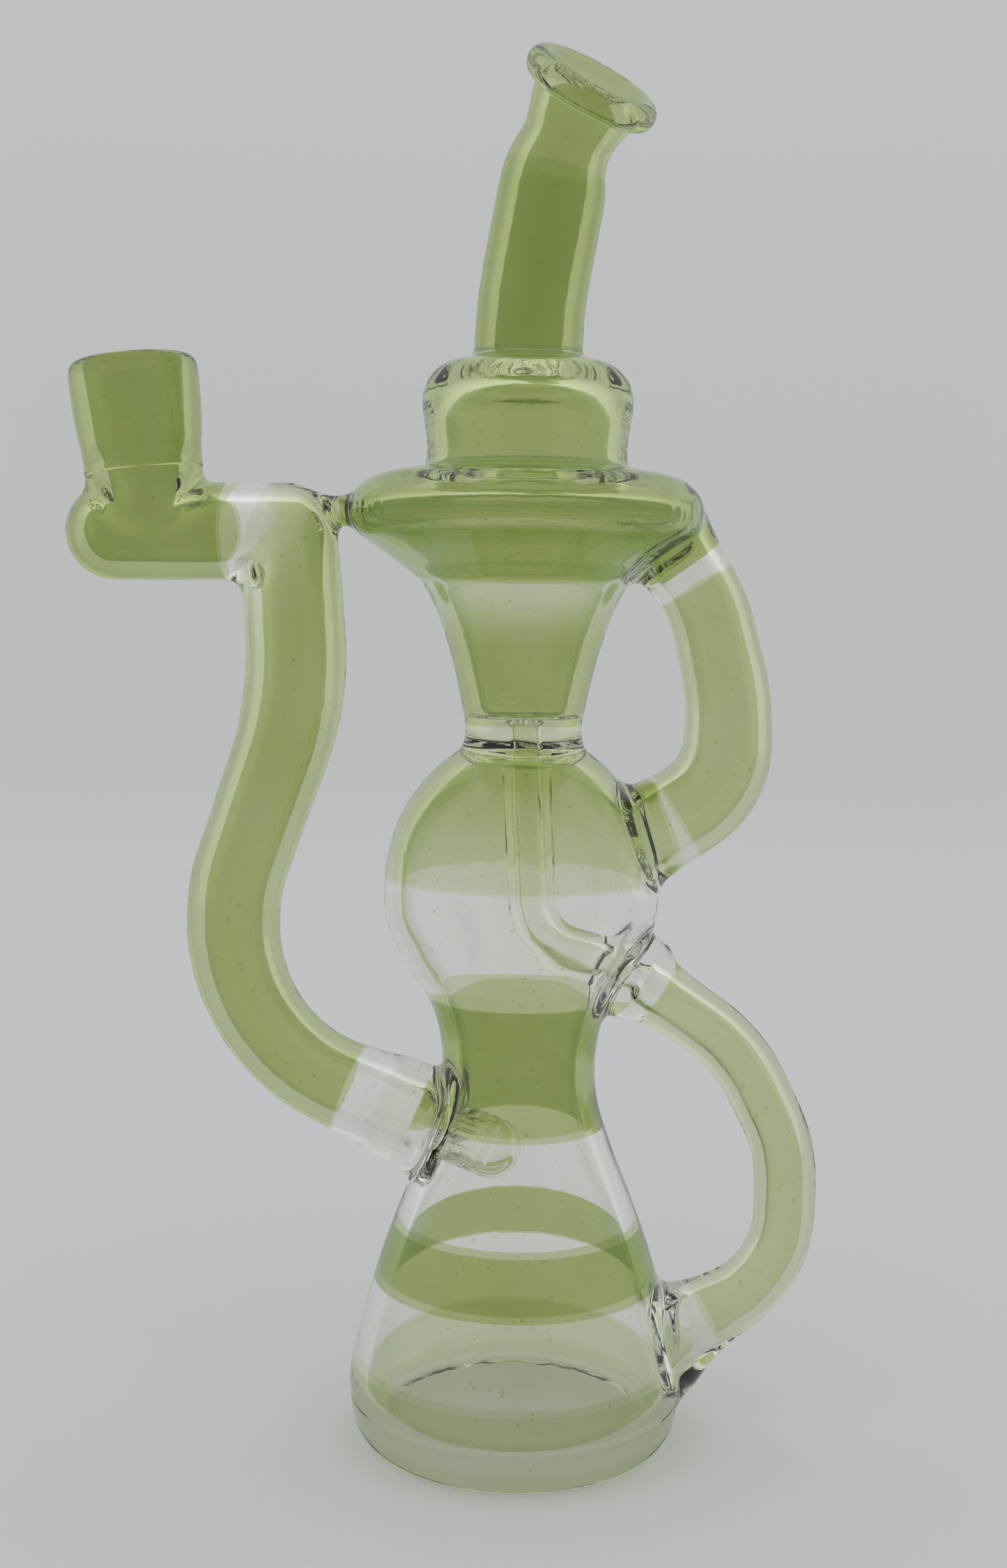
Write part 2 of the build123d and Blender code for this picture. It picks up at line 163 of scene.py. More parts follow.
# ---------------------------------------------------------------------------------------------
# Neck: drawn from heavy green tube, bent back a little, pinched to a throat below the lip and
# fused to the top of the collar. Its bore runs down into the collar's room.
# ---------------------------------------------------------------------------------------------


def drawn(name, points, radii, resolution=16):
    """Round rod along points in mm. radii holds (length along it, radius) at a few places."""
    lengths = np.concatenate([[0], np.cumsum([(b - a).length for a, b in zip(points, points[1:])])])
    at, size = np.array(radii, float).T
    bpy.ops.curve.primitive_nurbs_path_add()
    rod = bpy.context.object
    rod.name = name
    rod.data.splines.clear()
    line = rod.data.splines.new("POLY")
    line.points.add(len(points) - 1)
    for knot, point, length in zip(line.points, points, lengths):
        knot.co = (*(point * MM), 1)
        knot.radius = float(np.interp(length, at, size))
    rod.data.dimensions = "3D"
    rod.data.twist_mode = "MINIMUM"
    rod.data.bevel_depth = MM
    rod.data.bevel_resolution = resolution
    rod.data.use_fill_caps = True
    rod.location = (0, 0, 0)
    bpy.ops.object.convert(target="MESH")
    rod = bpy.context.object
    bpy.ops.object.mode_set(mode="EDIT")
    bpy.ops.mesh.select_all(action="SELECT")
    bpy.ops.mesh.remove_doubles(threshold=1e-6)
    bpy.ops.mesh.normals_make_consistent(inside=False)
    bpy.ops.object.mode_set(mode="OBJECT")
    return rod


lip_foot = Vector((7.3, -2.2, 194.0))
lip_axis = Vector((0.44, -0.42, 0.80)).normalized()
neck_line = [
    Vector(p)
    for p in smooth_line(
        [(0, 0, 156), (0, 0, 161), (0.3, 0, 166), (1.0, 0, 171), (1.9, 0, 176), (2.8, 0, 181), (3.6, 0, 185.6),
         (5.1, -0.6, 189.3), (6.1, -1.3, 191.7), tuple(lip_foot), (9.6, -4.4, 198.2)],
        0.8,
    )
]
neck_outside = drawn("neck_outside", neck_line, [
    (0, 7.8), (26, 7.75), (29, 7.5), (31.5, 6.9), (33.5, 6.5), (35.5, 6.7), (39, 7.7), (50, 8.0),
])
neck_bore = drawn("neck_bore", neck_line, [(0, 4.9), (27, 4.9), (33.5, 4.0), (38, 4.7), (50, 5.2)])


# ---------------------------------------------------------------------------------------------
# Inlet: a short elbow, closed at its outer end, carries the joint. From its inner end an S bent tube
# of green glass runs down and into the waist, and a solid rod braces it against the disc.
# ---------------------------------------------------------------------------------------------


def on_bearing(angle, corners):
    """Points in space for (distance from the axis, height) on an upright plane at a bearing."""
    side = math.radians(angle)
    return [Vector((u * math.cos(side), u * math.sin(side), z)) for u, z in corners]


def aimed(origin, axis):
    """Place whose Z axis looks along an axis."""
    turned_z = Vector(axis).normalized().to_track_quat("Z", "Y").to_matrix().to_4x4()
    return Matrix.Translation(Vector(origin) * MM) @ turned_z


def bent(corners, bends, spacing=1.2):
    """Points along a route of straight runs and round bends, with its length at each."""
    corners = [Vector(c) for c in corners]
    points = [corners[0]]
    for before, corner, after, bend in zip(corners, corners[1:], corners[2:], bends):
        back, on = (before - corner).normalized(), (after - corner).normalized()
        half = back.angle(on) / 2
        reach = bend / math.tan(half)
        middle = corner + (back + on).normalized() * bend / math.sin(half)
        start, stop = corner + back * reach - middle, corner + on * reach - middle
        sweep = start.angle(stop)
        steps = max(3, int(bend * sweep / spacing))
        for i in range(steps + 1):
            share = i / steps
            part = (start * math.sin((1 - share) * sweep) + stop * math.sin(share * sweep)) / math.sin(sweep)
            points.append(middle + part)
    points.append(corners[-1])
    filled = [points[0]]
    for one, other in zip(points, points[1:]):
        gap = (other - one).length
        if gap < 1e-6:
            continue
        count = max(1, round(gap / spacing))
        filled += [one.lerp(other, (i + 1) / count) for i in range(count)]
    return filled


def length_of(line):
    return sum((b - a).length for a, b in zip(line, line[1:]))


def ball(name, centre, radius):
    """Round end of a closed tube, in mm."""
    bpy.ops.mesh.primitive_uv_sphere_add(segments=64, ring_count=32, radius=radius * MM, location=centre * MM)
    form = bpy.context.object
    form.name = name
    bpy.ops.object.transform_apply(location=True, rotation=True, scale=True)
    return form


INLET = 171  # where the inlet stands round the axis, in degrees
JOINT_LEAN = math.radians(6.4)
inlet_side = on_bearing(INLET, [(1, 0)])[0]
joint_axis = inlet_side * math.sin(JOINT_LEAN) + Vector((0, 0, math.cos(JOINT_LEAN)))
joint_foot = on_bearing(INLET, [(56.6, 134.0)])[0]
joint_place = aimed(joint_foot, joint_axis)
elbow_line = smooth_line(on_bearing(INLET, [(35.4, 134), (44, 134), (53, 134), (62.2, 134)]), 1.2)
elbow_line = [Vector(p) for p in elbow_line]
inlet_corners = on_bearing(INLET, [(35.4, 134), (33.7, 109.4), (43.8, 80.7), (43.8, 57.8), (18.6, 48.6)])
inlet_line = bent(inlet_corners, [45, 27, 25.5])
inlet_end = (inlet_corners[-1] - inlet_corners[-2]).normalized()
inlet_line += [inlet_corners[-1] + inlet_end * reach for reach in (1.5, 3.0, 4.5, 6.0)]
inlet_run = length_of(inlet_line)
brace_line = smooth_line(on_bearing(INLET, [(38, 135.5), (31.5, 137), (27.6, 137.4), (23, 137)]), 0.6)
brace_line = [Vector(p) for p in brace_line]
inlet_outside = [
    turned("joint_outside", [(0, 0), (8.3, 0), (8.7, 5), (8.75, 8), (8.8, 12), (0, 12)], joint_place),
    drawn("elbow_outside", elbow_line, [(0, 7.3), (40, 7.3)]),
    ball("elbow_corner", elbow_line[0], 7.3),
    ball("elbow_blind_end", elbow_line[-1], 7.3),
    drawn("brace_outside", brace_line, [
        (0, 6.0), (4, 4.4), (7.5, 3.0), (9.5, 2.3), (11, 2.3), (13, 3.2), (16, 4.6),
    ]),
    drawn("inlet_outside", inlet_line, [
        (0, 7.3), (8, 7.5), (26, 7.5), (32, 7.2), (45, 7.0), (62, 7.05), (72, 6.75), (80, 6.6), (92, 6.7),
        (inlet_run - 14.5, 6.8), (inlet_run - 11, 7.0), (inlet_run - 7.6, 7.5), (inlet_run - 7.0, 8.1),
        (inlet_run - 5.2, 8.1), (inlet_run - 4.5, 7.6), (inlet_run, 8.4),
    ]),
]
inlet_bores = [
    turned("joint_bore", [(0, 0), (4.6, 0), (5.0, 6), (5.5, 10), (5.6, 12), (0, 12)], joint_place),
    drawn("elbow_bore", elbow_line, [(0, 4.6), (40, 4.6)]),
    ball("elbow_bore_corner", elbow_line[0], 4.6),
    ball("elbow_bore_end", elbow_line[-1], 4.6),
    drawn("inlet_bore", inlet_line, [(0, 4.6), (26, 4.7), (60, 4.4), (inlet_run - 12, 4.2), (inlet_run, 4.0)]),
]


# ---------------------------------------------------------------------------------------------
# Uptake arm: pale green tube that lifts the water from the side of the bulb to the underside of the
# disc. It is bent in the flame and welded at both ends with a little clear glass.
# ---------------------------------------------------------------------------------------------
UPTAKE = 4  # where the arm stands round the axis, in degrees
uptake_line = bent(
    on_bearing(UPTAKE, [(17.7, 137.1), (26.7, 124.8), (30.2, 110.6), (30.2, 97.6), (12, 86.7)]), [25, 30, 12]
)
uptake_run = length_of(uptake_line)
uptake_outside = drawn("uptake_outside", uptake_line, [
    (0, 7.4), (6, 7.0), (9, 6.3), (14, 6.05), (22, 6.05), (30, 6.3), (40, 6.7), (48, 7.0),
    (uptake_run - 12, 7.1), (uptake_run - 6, 7.5), (uptake_run, 8.0),
])
uptake_bore = drawn("uptake_bore", uptake_line, [
    (0, 4.2), (20, 4.1), (40, 4.6), (uptake_run - 8, 4.8), (uptake_run, 4.8),
])


# ---------------------------------------------------------------------------------------------
# Drain tube and return arm: a clear tube hangs from the neck ring through the bulb and leaves it by
# a port, and a slimmer green tube takes the water on from there down to the base.
# ---------------------------------------------------------------------------------------------
RETURN = 2  # where the arm stands round the axis, in degrees
drain_line = bent(on_bearing(RETURN, [(0, 109.0), (1.9, 74.9), (17.9, 69.4)]), [8])
drain_run = length_of(drain_line)
drain_rod = drawn("drain_outside", drain_line, [(0, 3.9), (8, 3.6), (30, 3.6), (drain_run - 6, 3.6), (drain_run, 4.4)])
around = lower_room.modifiers.new("drain", "BOOLEAN")
around.operation = "DIFFERENCE"
around.solver = "EXACT"
around.object = drain_rod
bpy.context.view_layer.objects.active = lower_room
bpy.ops.object.modifier_apply(modifier=around.name)
bpy.data.objects.remove(drain_rod)
drain_bore = drawn("drain_bore", drain_line + [Vector((20.0, 0.7, 67.8))], [(0, 1.7), (60, 1.7)])
return_line = bent(
    on_bearing(RETURN, [(15.6, 70.3), (32.7, 58.6), (40.1, 43.6), (40.1, 24.6), (18, 11.9)]), [25, 22, 16]
)
return_run = length_of(return_line)
return_outside = drawn("return_outside", return_line, [
    (0, 6.7), (3.6, 6.6), (4.4, 6.2), (5.6, 5.2), (8, 4.9), (13, 4.75), (30, 4.7), (50, 4.6), (60, 4.8),
    (return_run - 14, 5.4), (return_run - 9.5, 6.6), (return_run - 5.5, 8.6), (return_run, 9.5),
])
return_bore = drawn("return_bore", return_line[2:], [
    (0, 2.6), (40, 2.7), (60, 3.0), (return_run - 6, 4.4), (return_run, 4.4),
])


# ---------------------------------------------------------------------------------------------
# Glass blank: the flame fuses body, neck and arms into one vessel, so they are melted into one skin
# outside and one inside, and each weld is softened. The inner skin is turned to face the air in it.
# ---------------------------------------------------------------------------------------------
GRAIN = 0.6 * MM  # size of the faces that the fused skins are made of


def fused(name, forms):
    """One skin over forms that overlap, in even faces."""
    bpy.ops.object.select_all(action="DESELECT")
    for form in forms:
        form.select_set(True)
    bpy.context.view_layer.objects.active = forms[0]
    bpy.ops.object.join()
    form = bpy.context.object
    form.name = name
    remesh = form.modifiers.new("melt", "REMESH")
    remesh.mode = "VOXEL"
    remesh.voxel_size = GRAIN
    remesh.adaptivity = 0
    bpy.ops.object.modifier_apply(modifier=remesh.name)
    return form


def eased(form, welds, rounds):
    """Smooths a form a little all over, and more within reach of each weld, as the flame does."""
    places = np.zeros(len(form.data.vertices) * 3, np.float32)
    form.data.vertices.foreach_get("co", places)
    places = places.reshape(-1, 3) / MM
    softness = np.zeros(len(places))  # 1 in the middle of a weld, 0 from its reach on
    for centre, reach in welds:
        away = np.linalg.norm(places - np.array(centre), axis=1)
        softness = np.maximum(softness, np.clip(1.6 - 1.6 * away / reach, 0, 1))
    group = form.vertex_groups.new(name="weld")
    steps = 12
    levels = np.round(softness * steps).astype(int)
    for level in range(1, steps + 1):
        group.add(np.nonzero(levels == level)[0].tolist(), level / steps, "REPLACE")
    bpy.context.view_layer.objects.active = form
    for iterations, vertex_group in ((rounds, "weld"), (8, "")):
        ease = form.modifiers.new("ease", "SMOOTH")
        ease.factor = 0.5
        ease.iterations = iterations
        ease.vertex_group = vertex_group
        bpy.ops.object.modifier_apply(modifier=ease.name)
    form.vertex_groups.clear()
    return form


elbow_inner_corner = on_bearing(INLET, [(41.5, 127.0)])[0]
inlet_weld = on_bearing(INLET, [(15.0, 47.5)])[0]
uptake_top_weld = on_bearing(UPTAKE, [(22.5, 130.5)])[0]
uptake_foot_weld = on_bearing(UPTAKE, [(18.5, 90.6)])[0]
return_foot_weld = on_bearing(RETURN, [(23.0, 14.8)])[0]
blank = eased(
    fused("glass_blank", [body_outside, neck_outside, uptake_outside, return_outside, *inlet_outside]),
    [
        (joint_foot + joint_axis * 7, 13), (elbow_inner_corner, 11), (on_bearing(INLET, [(27.6, 137.4)])[0], 8),
        (inlet_weld, 11), (uptake_top_weld, 13), (uptake_foot_weld, 14), (return_foot_weld, 13),
        (on_bearing(RETURN, [(15.4, 69.4)])[0], 7),
    ],
    90,
)
hollow = eased(
    fused("glass_hollow", [lower_room, upper_room, neck_bore, uptake_bore, return_bore, drain_bore, *inlet_bores]),
    [
        (uptake_top_weld, 9), (uptake_foot_weld, 9), (return_foot_weld, 9), (elbow_inner_corner, 8), (inlet_weld, 6),
    ],
    30,
)
hollow.data.flip_normals()
bpy.ops.object.select_all(action="DESELECT")
blank.select_set(True)
hollow.select_set(True)
bpy.context.view_layer.objects.active = blank
bpy.ops.object.join()


# ---------------------------------------------------------------------------------------------
# Sawing: lengths of clear and green glass meet in flat joins inside one smooth wall. The blank is cut
# at each join and its cuts are closed, and a piece keeps the slope that the wall had before the cut.
# ---------------------------------------------------------------------------------------------
JOIN = 1  # material slot of the flat ends where two pieces are fused; slot 0 is the wall
glass = bmesh.new()
glass.from_mesh(blank.data)
bpy.data.objects.remove(blank)
slope = glass.verts.layers.float_vector.new("slope")
glass.normal_update()
for corner in glass.verts:
    corner[slope] = corner.normal
corners = list(glass.verts)
nearest = KDTree(len(corners))
for number, corner in enumerate(corners):
    nearest.insert(corner.co, number)
nearest.balance()
walls = list(glass.faces)
centres = np.array([face.calc_center_median() for face in walls]) / MM
ON_PLANE = 1e-8  # how near a corner has to be to a cut to lie on it, in metres
BESIDE_CUT = 0.9  # how far from a cut across a tube the middle of a sawn face can be, in mm


def sawn(faces, place, axis):
    """Cuts faces on a plane, opens the cut and closes each side with a flat join."""
    place, axis = Vector(place) * MM, Vector(axis).normalized()
    parts = dict.fromkeys(faces)
    for face in faces:
        parts.update(dict.fromkeys(face.edges))
        parts.update(dict.fromkeys(face.verts))
    cut = bmesh.ops.bisect_plane(glass, geom=list(parts), dist=ON_PLANE, plane_co=place, plane_no=axis)["geom_cut"]
    edges = [edge for edge in cut if isinstance(edge, bmesh.types.BMEdge)]
    opened = bmesh.ops.split_edges(glass, edges=edges)["edges"]
    both = [edge for edge in dict.fromkeys([*opened, *edges]) if edge.is_valid and len(edge.link_faces) == 1]
    rims = {1: [], -1: []}
    for edge in both:
        beyond = (edge.link_faces[0].calc_center_median() - place).dot(axis) > 0
        rims[1 if beyond else -1].append(edge)
    for side, rim in rims.items():
        lid = bmesh.ops.triangle_fill(glass, use_beauty=True, edges=rim, normal=axis * -side)["geom"]
        for part in lid:
            if isinstance(part, bmesh.types.BMFace):
                part.material_index = JOIN
                if part.normal.dot(axis) * side > 0:
                    part.normal_flip()


def sawn_across(place, axis, reach):
    """Saws one tube across, within reach of a place on its line."""
    away = centres - np.array(place)
    direction = np.array(Vector(axis).normalized())
    near = (np.abs(away @ direction) < BESIDE_CUT) & (np.linalg.norm(away, axis=1) < reach)
    sawn([walls[i] for i in np.nonzero(near)[0]], place, axis)


def along(line, distance):
    """Place on a line at a length from its start, with its direction."""
    gone = 0
    for one, other in zip(line, line[1:]):
        step = (other - one).length
        if gone + step >= distance:
            return one.lerp(other, (distance - gone) / step), (other - one).normalized()
        gone += step
    return line[-1], (line[-1] - line[-2]).normalized()


def connected(*points):
    """All faces joined to the corners of the blank that are nearest to some points, in mm."""
    found = {}
    for point in points:
        start = corners[nearest.find(Vector(point) * MM)[1]].link_faces[0]
        if start in found:
            continue
        found[start] = True
        to_visit = [start]
        while to_visit:
            for edge in to_visit.pop().edges:
                for other in edge.link_faces:
                    if other not in found:
                        found[other] = True
                        to_visit.append(other)
    return list(found)


def finished(piece, node, glaze):
    """Gives a piece its glass, clear joins at its ends, its body and its finish, and hides the CAD node that it stands
    for.
    """
    index = np.zeros(len(piece.data.polygons), np.int32)
    piece.data.polygons.foreach_get("material_index", index)
    piece.data.materials.clear()
    piece.data.materials.append(glaze)
    piece.data.materials.append(fused_join)
    piece.data.polygons.foreach_set("material_index", index)
    piece.data.polygons.foreach_set("use_smooth", np.ones(len(index), bool))
    piece.visible_shadow = False
    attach(piece, "root")
    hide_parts(node)


def taken(node, *points, slot, glaze):
    """The sawn length of the blank nearest to some points, as the piece that stands for a CAD node."""
    faces = connected(*points)
    order = {}
    for face in faces:
        for corner in face.verts:
            order.setdefault(corner, len(order))
    mesh = bpy.data.meshes.new(node)
    mesh.from_pydata([c.co[:] for c in order], [], [[order[c] for c in face.verts] for face in faces])
    mesh.polygons.foreach_set("material_index", [face.material_index for face in faces])
    piece = bpy.data.objects.new(node, mesh)
    bpy.context.scene.collection.objects.link(piece)
    finished(piece, node, glaze)
    mesh.normals_split_custom_set_from_vertices([c[slope].normalized()[:] for c in order])


# ---------------------------------------------------------------------------------------------
# Neck, throat and mouthpiece: deep green glass, darkest in the straight neck. The lip is a ring of
# the same glass, rolled outwards round the mouth while it was soft.
# ---------------------------------------------------------------------------------------------
class Wire:
    """A shader value that can be added, multiplied and so on like a number."""

    def __init__(self, nodes, socket):
        self.nodes, self.socket = nodes, socket

    def math(self, operation, other=None, swapped=False):
        pair = (other, self) if swapped else (self, other)
        return self.nodes.make("ShaderNodeMath", {"operation": operation}, *[p for p in pair if p is not None])

    def __add__(self, other):
        return self.math("ADD", other)

    def __sub__(self, other):
        return self.math("SUBTRACT", other)

    def __rsub__(self, other):
        return self.math("SUBTRACT", other, True)

    def __mul__(self, other):
        return self.math("MULTIPLY", other)

    __radd__ = __add__
    __rmul__ = __mul__


class Nodes:
    """The shader nodes of one material, or of the room's light."""

    def __init__(self, owner):
        self.owner = owner
        owner.use_nodes = True
        self.tree = owner.node_tree
        self.tree.nodes.clear()

    def make(self, kind, settings=None, *values, output=0, **named):
        """A node with its settings, then the values or links of its sockets. Gives one of its outputs."""
        node = self.tree.nodes.new(kind)
        for key, value in (settings or {}).items():
            setattr(node, key, value)
        for key, value in [*enumerate(values), *named.items()]:
            socket = node.inputs[key if isinstance(key, int) else key.replace("_", " ")]
            if isinstance(value, Wire):
                self.tree.links.new(value.socket, socket)
            else:
                socket.default_value = value
        return Wire(self, node.outputs[output]) if node.outputs else node


PIGMENT = (0.55, 0.64, 0.26)  # what a full depth of the green lets through, there and back
TEAL = (0.20, 0.50, 0.34)  # what it lets through where it is seen edge on


def pigment_glass(name, density, *marks):
    """Glass with its colour in a thin outer layer, deeper where the layer is seen edge on, with seeds in it."""
    n = Nodes(bpy.data.materials.new(name))
    place = n.make("ShaderNodeTexCoord", output="Object")
    cloud = n.make("ShaderNodeTexNoise", {}, Vector=place, Scale=70.0, Detail=2.0)
    streak = n.make("ShaderNodeTexNoise", {}, Vector=place, Scale=240.0, Detail=2.0)
    seed = n.make("ShaderNodeTexVoronoi", {}, Vector=place, Scale=330.0, Randomness=1.0, output="Distance")
    speck = n.make("ShaderNodeMapRange", {}, seed, 0.05, 0.10, 0.8, 0.0)
    slant = n.make("ShaderNodeLayerWeight", {}, 0.5, output="Facing")
    rim = n.make("ShaderNodeMapRange", {"interpolation_type": "SMOOTHSTEP"}, slant, 0.35, 0.85, 0.0, 1.0)
    depth = density * (1.0 + (cloud - 0.5) * 0.5)
    for mark in marks:
        depth = mark(n, place, depth)
    depth = depth * (1.0 + slant * slant * 0.9) + speck
    layers = []
    for face_on, edge_on in zip(PIGMENT, TEAL):
        edge = rim * (math.log(edge_on) * (0.06 + 0.42 * min(1.0, density)))
        layers.append(n.make("ShaderNodeMath", {"operation": "EXPONENT"}, depth * math.log(face_on) + edge))
    tint = n.make("ShaderNodeCombineColor", {}, *layers)
    bump = n.make("ShaderNodeBump", {}, Strength=0.04, Distance=0.0004, Height=streak)
    wall = n.make(
        "ShaderNodeBsdfPrincipled", {}, Base_Color=tint, Roughness=0.02, IOR=1.47,
        Transmission_Weight=1.0, Normal=bump,
    )
    n.make("ShaderNodeOutputMaterial", {}, Surface=wall)
    return n.owner


join_nodes = Nodes(bpy.data.materials.new("fused_join"))
join_nodes.make("ShaderNodeOutputMaterial", {}, Surface=join_nodes.make("ShaderNodeBsdfTransparent", {}))
fused_join = join_nodes.owner
sawn_across(Vector((0, 0, 159.3)), Vector((0, 0, 1)), 11)
sawn_across(*along(neck_line, 29.6), 10)
sawn_across(*along(neck_line, 33.6), 9)
sawn_across(lip_foot, lip_axis, 11)
deep_green = pigment_glass("deep_green_glass", 1.0)
mouth_green = pigment_glass("mouthpiece_green_glass", 0.75)
taken("neck_tube", (0, -7.7, 170), slot="green_glass", glaze=deep_green)
taken("neck_shoulder", (4.4, -7.2, 187), slot="green_glass", glaze=mouth_green)
taken("mouthpiece", (5.5, -7.6, 191), slot="green_glass", glaze=mouth_green)
lip = turned("mouthpiece_lip", joined_line(
    [(4.9, 0), (7.72, 0)],
    [(7.72, 0), (8.9, 0.35), (9.75, 1.2), (10.0, 2.4), (9.6, 3.6), (8.6, 4.3), (7.4, 4.3), (6.4, 3.5), (5.6, 2.2),
     (4.9, 0)],
), aimed(lip_foot, lip_axis), 128)


def flat_end(piece, place, axis):
    """Makes the faces that lie on a plane a join."""
    for face in piece.data.polygons:
        if abs((Vector(face.center) / MM - place).dot(axis)) < 0.01:
            face.material_index = JOIN


flat_end(lip, lip_foot, lip_axis)
finished(lip, "mouthpiece_lip", mouth_green)


# ---------------------------------------------------------------------------------------------
# Joint and elbow: a ground 14 mm socket of green glass, made on a mandrel, is welded to the top of
# the elbow. The elbow's far end is pulled shut and rounded.
# ---------------------------------------------------------------------------------------------
sawn_across(joint_foot + joint_axis * 9.0, joint_axis, 12)
sawn_across(on_bearing(INLET, [(44.3, 134)])[0], inlet_side, 10.5)
joint_green = pigment_glass("joint_green_glass", 0.83)
taken("joint_elbow", (-52, 2, 130), slot="green_glass", glaze=joint_green)
joint = turned("joint_socket", joined_line(
    [(5.45, 9.0), (8.72, 9.0)],
    [(8.72, 9.0), (8.85, 12.0), (9.3, 15.5), (9.5, 18.5), (9.5, 23.6), (9.2, 24.7), (8.6, 25.3), (8.0, 25.3),
     (7.5, 24.9), (7.25, 24.2)],
    [(7.25, 24.2), (6.7, 15.0)],
    [(6.7, 15.0), (6.4, 12.6), (5.8, 10.6), (5.45, 9.0)],
), joint_place, 96)
flat_end(joint, joint_foot + joint_axis * 9.0, joint_axis)
finished(joint, "joint_socket", joint_green)


# ---------------------------------------------------------------------------------------------
# S tube: green tube between two clear sleeves. Its colour thins out towards the clear patch at the
# elbow. At the waist a clear sleeve, a thick ring and a boss hold it in the wall.
# ---------------------------------------------------------------------------------------------
mitre = inlet_side * 0.94 + Vector((0, 0, 0.342))
mitre_place = on_bearing(INLET, [(40.2, 133.8)])[0]
sawn_across(mitre_place, mitre, 9.6)
sawn_across(*along(inlet_line, inlet_run - 13.6), 10)
sawn_across(*along(inlet_line, inlet_run - 7.8), 10.5)
sawn_across(*along(inlet_line, inlet_run - 4.6), 10.5)
sawn_across(*along(inlet_line, inlet_run - 2.2), 11)
sawn_across(*along(brace_line, 10.7), 3.5)
sawn_across(*along(brace_line, 12.4), 4.6)


def fading(axis, start, stop, low, high):
    """Colour whose depth goes from low to high between two places on an axis."""
    def mark(n, place, depth):
        measure = n.make("ShaderNodeVectorMath", {"operation": "DOT_PRODUCT"}, place, tuple(axis), output="Value")
        return depth * n.make(
            "ShaderNodeMapRange", {"interpolation_type": "SMOOTHSTEP"}, measure, start * MM, stop * MM, low, high,
        )
    return mark


clear = pigment_glass("clear_glass", 0.02)
weld_clear = pigment_glass("clear_weld_glass", 0.06)
mitre_axis = mitre.normalized()
mitre_at = mitre_axis.dot(mitre_place)
tube_green = pigment_glass("tube_green_glass", 0.56, fading(mitre_axis, mitre_at - 9, mitre_at, 1.0, 0.35))
taken("elbow_clear_sleeve", (-41.9, -0.7, 134.5), slot="clear_glass", glaze=clear)
taken("inlet_s_tube", (-43, 0, 80), slot="green_glass", glaze=tube_green)
taken("inlet_clear_sleeve", (-22.7, -3.4, 50), slot="clear_glass", glaze=clear)
taken("inlet_weld_ring", (-18.4, -5.2, 48.7), slot="clear_glass", glaze=weld_clear)
taken("inlet_boss", (-16, -5.2, 47.6), slot="clear_glass", glaze=weld_clear)


# ---------------------------------------------------------------------------------------------
# Brace: a short solid rod of green glass, melted on between the S tube and the rim of the disc and
# twisted as it was drawn, so that its colour runs in slanted stripes.
# ---------------------------------------------------------------------------------------------
def twisted(n, place, depth):
    """Colour gathered in slanted stripes."""
    wave = n.make(
        "ShaderNodeTexWave", {"bands_direction": "DIAGONAL"}, Vector=place, Scale=190.0, Distortion=1.5, Detail=1.0,
        output="Fac",
    )
    return depth * (0.3 + wave * wave * 2.6)


brace_green = pigment_glass("brace_green_glass", 0.8, twisted)
brace_top = along(brace_line, 11.5)[0] + Vector((0, 0, 2.3))
taken("brace", tuple(brace_top), slot="green_glass", glaze=brace_green)


# ---------------------------------------------------------------------------------------------
# Uptake arm: pale green between two clear welds. Where the lower weld was closed, two dark green
# beads of colour were left in it, one above and one below.
# ---------------------------------------------------------------------------------------------
def beads(radius, extra, *places):
    """Small lumps of deeper colour at some places, in mm."""
    def mark(n, place, depth):
        for centre in places:
            away = n.make(
                "ShaderNodeVectorMath", {"operation": "DISTANCE"}, place, tuple(c * MM for c in centre), output="Value",
            )
            depth = depth + n.make(
                "ShaderNodeMapRange", {"interpolation_type": "SMOOTHSTEP"}, away, radius * 0.5 * MM, radius * MM,
                extra, 0.0,
            )
        return depth
    return mark


sawn_across(*along(uptake_line, 9.2), 10)
sawn_across(*along(uptake_line, 12.4), 9)
sawn_across(*along(uptake_line, uptake_run - 12.5), 10.5)
sawn_across(on_bearing(UPTAKE, [(21.3, 92.0)])[0], on_bearing(UPTAKE, [(0.93, 0.36)])[0], 11.5)
weld_beads = beads(2.8, 1.5, (17.8, -2.5, 97.0), (20.8, -2.0, 85.3))
uptake_green = pigment_glass("uptake_green_glass", 0.40, weld_beads)
foot_weld_clear = pigment_glass("clear_bead_glass", 0.12, weld_beads)
taken("uptake_arm", (30, -4, 105), slot="green_glass", glaze=uptake_green)
taken("uptake_upper_weld", (24, -5, 128.5), slot="clear_glass", glaze=weld_clear)
foot_weld_front = along(uptake_line, uptake_run - 11.6)[0] + Vector((0, -7.2, 0))
taken("uptake_lower_weld", tuple(foot_weld_front), slot="clear_glass", glaze=foot_weld_clear)


# ---------------------------------------------------------------------------------------------
# Return arm and drain: the port in the bulb has a clear ring, the arm is the palest green tube, and
# its foot is a clear sleeve, flared where it is welded to the base. The drain tube is clear.
# ---------------------------------------------------------------------------------------------
sawn_across(*along(return_line, 2.3), 8.6)
sawn_across(*along(return_line, 5.2), 8)
sawn_across(*along(return_line, return_run - 12.0), 9)
sawn_across(on_bearing(RETURN, [(25.5, 16.0)])[0], on_bearing(RETURN, [(0.97, 0.24)])[0], 12.5)
sawn_across(Vector((0.3, 0, 99.6)), Vector((0, 0, 1)), 5.2)
sawn_across(*along(drain_line, drain_run - 7.5), 5.5)
return_green = pigment_glass("return_green_glass", 0.30)
taken("return_arm", (40, -3, 34), slot="green_glass", glaze=return_green)
taken("return_port_ring", (18.7, -5.7, 68.2), slot="clear_glass", glaze=weld_clear)
taken("return_clear_sleeve", (27, -5.4, 17), slot="clear_glass", glaze=weld_clear)
